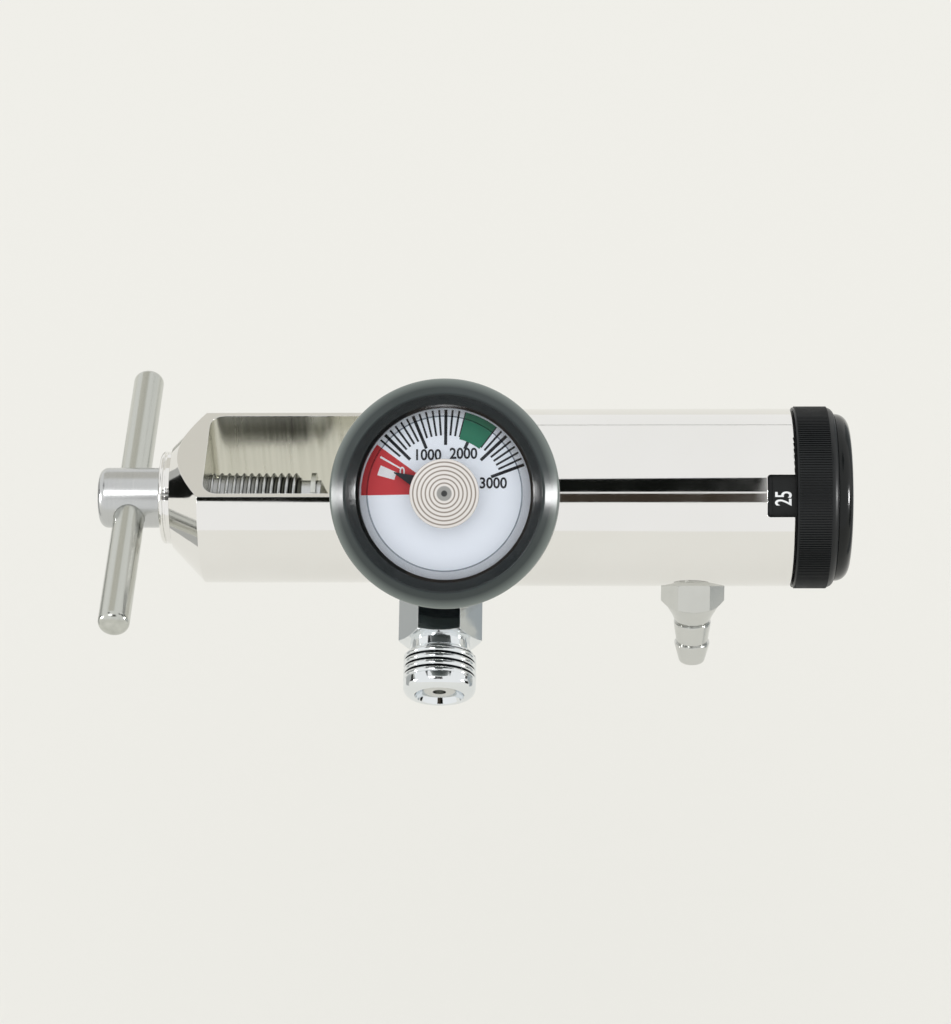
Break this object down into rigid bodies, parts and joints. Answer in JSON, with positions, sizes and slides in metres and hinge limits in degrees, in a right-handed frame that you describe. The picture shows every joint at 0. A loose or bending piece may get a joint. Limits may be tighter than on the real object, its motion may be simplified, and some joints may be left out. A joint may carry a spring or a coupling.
{
  "type": "oxygen regulator",
  "caption": "Oxygen regulator with a post-valve yoke and T-bar clamp screw, a booted pressure gauge, a threaded outlet, a hose barb and a click flow knob.",
  "frame": {"origin": "where the body's axis meets the sealing face of the inlet washer, at the root of the nipple that enters the post valve", "axes": "+X along the body from the clamp screw to the flow knob, +Z the way the post valve stands through the yoke, -Y the front, with the gauge 45 degrees up from the front"},
  "size_m": [0.15, 0.0824, 0.0805],
  "materials": {
    "nickel": "bright nickel plate, warm",
    "chrome": "bright chrome plate",
    "steel": "turned steel, satin",
    "zinc": "satin, slightly blue",
    "brass": "turned",
    "bronze": "sintered, dull",
    "seal_rubber": "dull",
    "washer": "dull",
    "boot_rubber": "slate grey, matt",
    "black_plastic": "moulded, glossy",
    "black_matt": "moulded",
    "dial_white": "printed",
    "pointer_black": "matt",
    "lens": "clear moulded plastic",
    "seat_plastic": "hard plastic"
  },
  "bodies": {
    "body": {"yoke_body": "nickel", "inlet_nipple": "brass", "inlet_filter": "bronze", "inlet_washer": "washer", "index_pin_front": "steel", "index_pin_rear": "steel", "nozzle_seat": "brass", "stem_oring": "seal_rubber", "main_spring": "steel", "flow_seat": "brass", "flow_seat_oring_left": "seal_rubber", "flow_seat_oring_right": "seal_rubber", "face_seal": "seal_rubber", "bonnet": "brass", "spindle_oring": "seal_rubber", "detent_spring": "steel", "gauge_socket": "brass", "gauge_case": "black_matt", "gauge_boot": "boot_rubber", "bourdon_tube": "brass", "movement_back_plate": "brass", "movement_front_plate": "brass", "dial_plate": "dial_white", "gauge_lens": "lens", "gauge_bezel": "black_matt", "outlet_body": "chrome", "outlet_gasket": "seal_rubber", "outlet_spring": "steel", "barb_fitting": "chrome"},
    "screw_carriage": {"screw_clip": "steel"},
    "clamp": {"clamp_screw": "zinc", "tee_bar": "steel"},
    "piston_group": {"piston": "brass", "piston_seat": "seat_plastic", "piston_oring": "seal_rubber"},
    "knob_group": {"knob": "black_plastic", "flow_scale": "black_matt", "knob_cap": "black_plastic", "knob_screw": "steel", "selector_spindle": "brass", "orifice_disc": "brass", "disc_spring": "steel"},
    "ball": {"detent_ball": "steel"},
    "poppet": {"outlet_poppet": "brass"},
    "pointer_group": {"pointer": "pointer_black", "pointer_shaft": "brass"},
    "sector": {"sector_gear": "brass"}
  },
  "joints": [
    {"name": "screw_travel", "type": "slide", "parent": "body", "child": "screw_carriage", "axis": [1, 0, 0], "range_m": [-0.0195, 0]},
    {"name": "screw_turn", "type": "hinge", "parent": "screw_carriage", "child": "clamp", "pos_m": [-0.052, 0, 0], "axis": [1, 0, 0], "range_deg": [-4681, 1]},
    {"name": "knob_turn", "type": "hinge", "parent": "body", "child": "knob_group", "pos_m": [0.0848, 0, 0], "axis": [1, 0, 0], "continuous": true},
    {"name": "pointer_turn", "type": "hinge", "parent": "body", "child": "pointer_group", "pos_m": [0.0128, -0.02899, 0.02899], "axis": [0, 0.7071, -0.7071], "range_deg": [0, 137.6]},
    {"name": "sector_turn", "type": "hinge", "parent": "body", "child": "sector", "pos_m": [0.0128, -0.02899, 0.01824], "axis": [0, 0.7071, -0.7071], "range_deg": [-26.1, 0.1]},
    {"name": "piston_slide", "type": "slide", "parent": "body", "child": "piston_group", "axis": [1, 0, 0], "range_m": [-0.0008, 0], "stiffness_N_per_m": 12000, "springref_m": 0.009, "deforming": ["main_spring"]},
    {"name": "poppet_slide", "type": "slide", "parent": "body", "child": "poppet", "axis": [0, 0.9239, 0.3827], "range_m": [0, 0.002], "stiffness_N_per_m": 1000, "springref_m": -0.002, "deforming": ["outlet_spring"]},
    {"name": "detent_ball_slide", "type": "slide", "parent": "body", "child": "ball", "axis": [-1, 0, 0], "range_m": [0, 0.0007], "stiffness_N_per_m": 1500, "springref_m": -0.002, "deforming": ["detent_spring"]}
  ],
  "couplings": [
    {"joint": "screw_turn", "follows": "screw_travel", "rad_per_m": 4188.8},
    {"joint": "sector_turn", "follows": "pointer_turn", "ratio": -0.18898}
  ]
}
